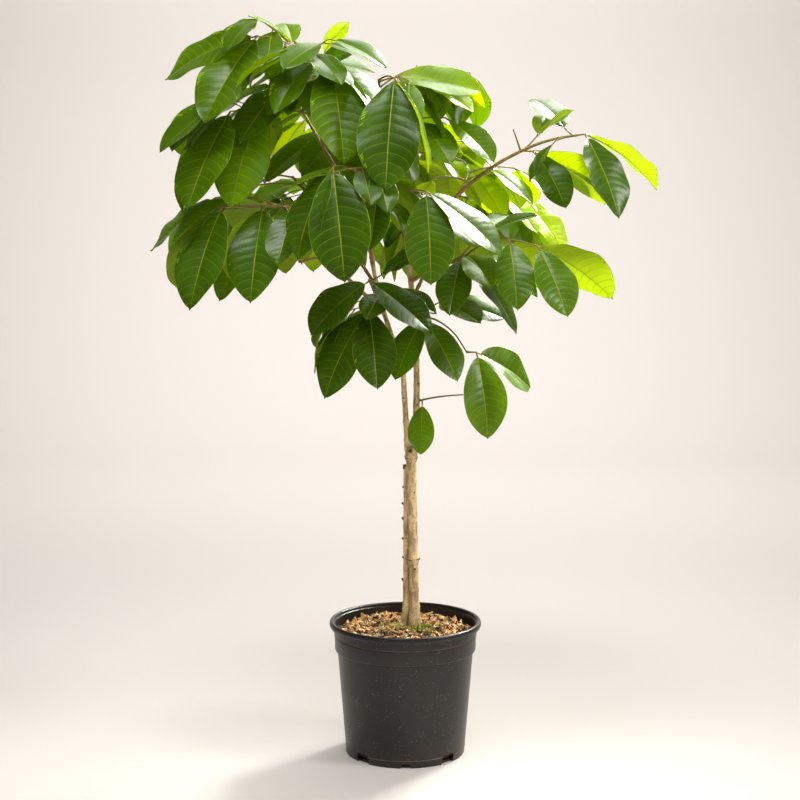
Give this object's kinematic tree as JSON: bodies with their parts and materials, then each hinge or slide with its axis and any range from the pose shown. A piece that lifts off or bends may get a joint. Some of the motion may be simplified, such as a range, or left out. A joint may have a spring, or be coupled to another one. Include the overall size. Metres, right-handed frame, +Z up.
{
  "type": "potted rambutan tree",
  "caption": "Young rambutan tree with glossy compound leaves on slender boughs, standing in a black moulded nursery can filled with bark mix.",
  "frame": {"origin": "centre of the can's flat underside, on the ground", "axes": "+Z up along the can's axis, -Y towards the front view, +X to the right in that view"},
  "size_m": [0.8845, 0.7627, 1.3058],
  "materials": {
    "can_plastic": "satin",
    "bark_mix": "matte",
    "bark": "matte",
    "foliage": "satin"
  },
  "bodies": {
    "root": {"pot": "can_plastic", "potting_mix": "bark_mix", "main_stem": "bark", "side_stem": "bark", "right_leader": "bark", "left_leader": "bark", "left_leader_upper": "bark", "left_bough": "bark", "cut_stub": "bark", "right_bough": "bark", "right_middle_bough": "bark", "top_left_bough": "bark", "top_right_bough": "bark", "front_bough": "bark", "back_left_bough": "bark", "back_right_bough": "bark", "foliage_top": "foliage", "foliage_centre": "foliage", "foliage_upper_right": "foliage", "foliage_upper_left": "foliage", "foliage_left": "foliage", "foliage_centre_right": "foliage", "foliage_right_tip": "foliage", "foliage_right_middle": "foliage", "foliage_lower": "foliage", "foliage_lower_right": "foliage", "foliage_low_right": "foliage", "foliage_low_sprig": "foliage", "foliage_right_inner": "foliage", "foliage_back_left": "foliage", "foliage_back_right": "foliage", "foliage_back_top": "foliage"}
  },
  "joints": []
}
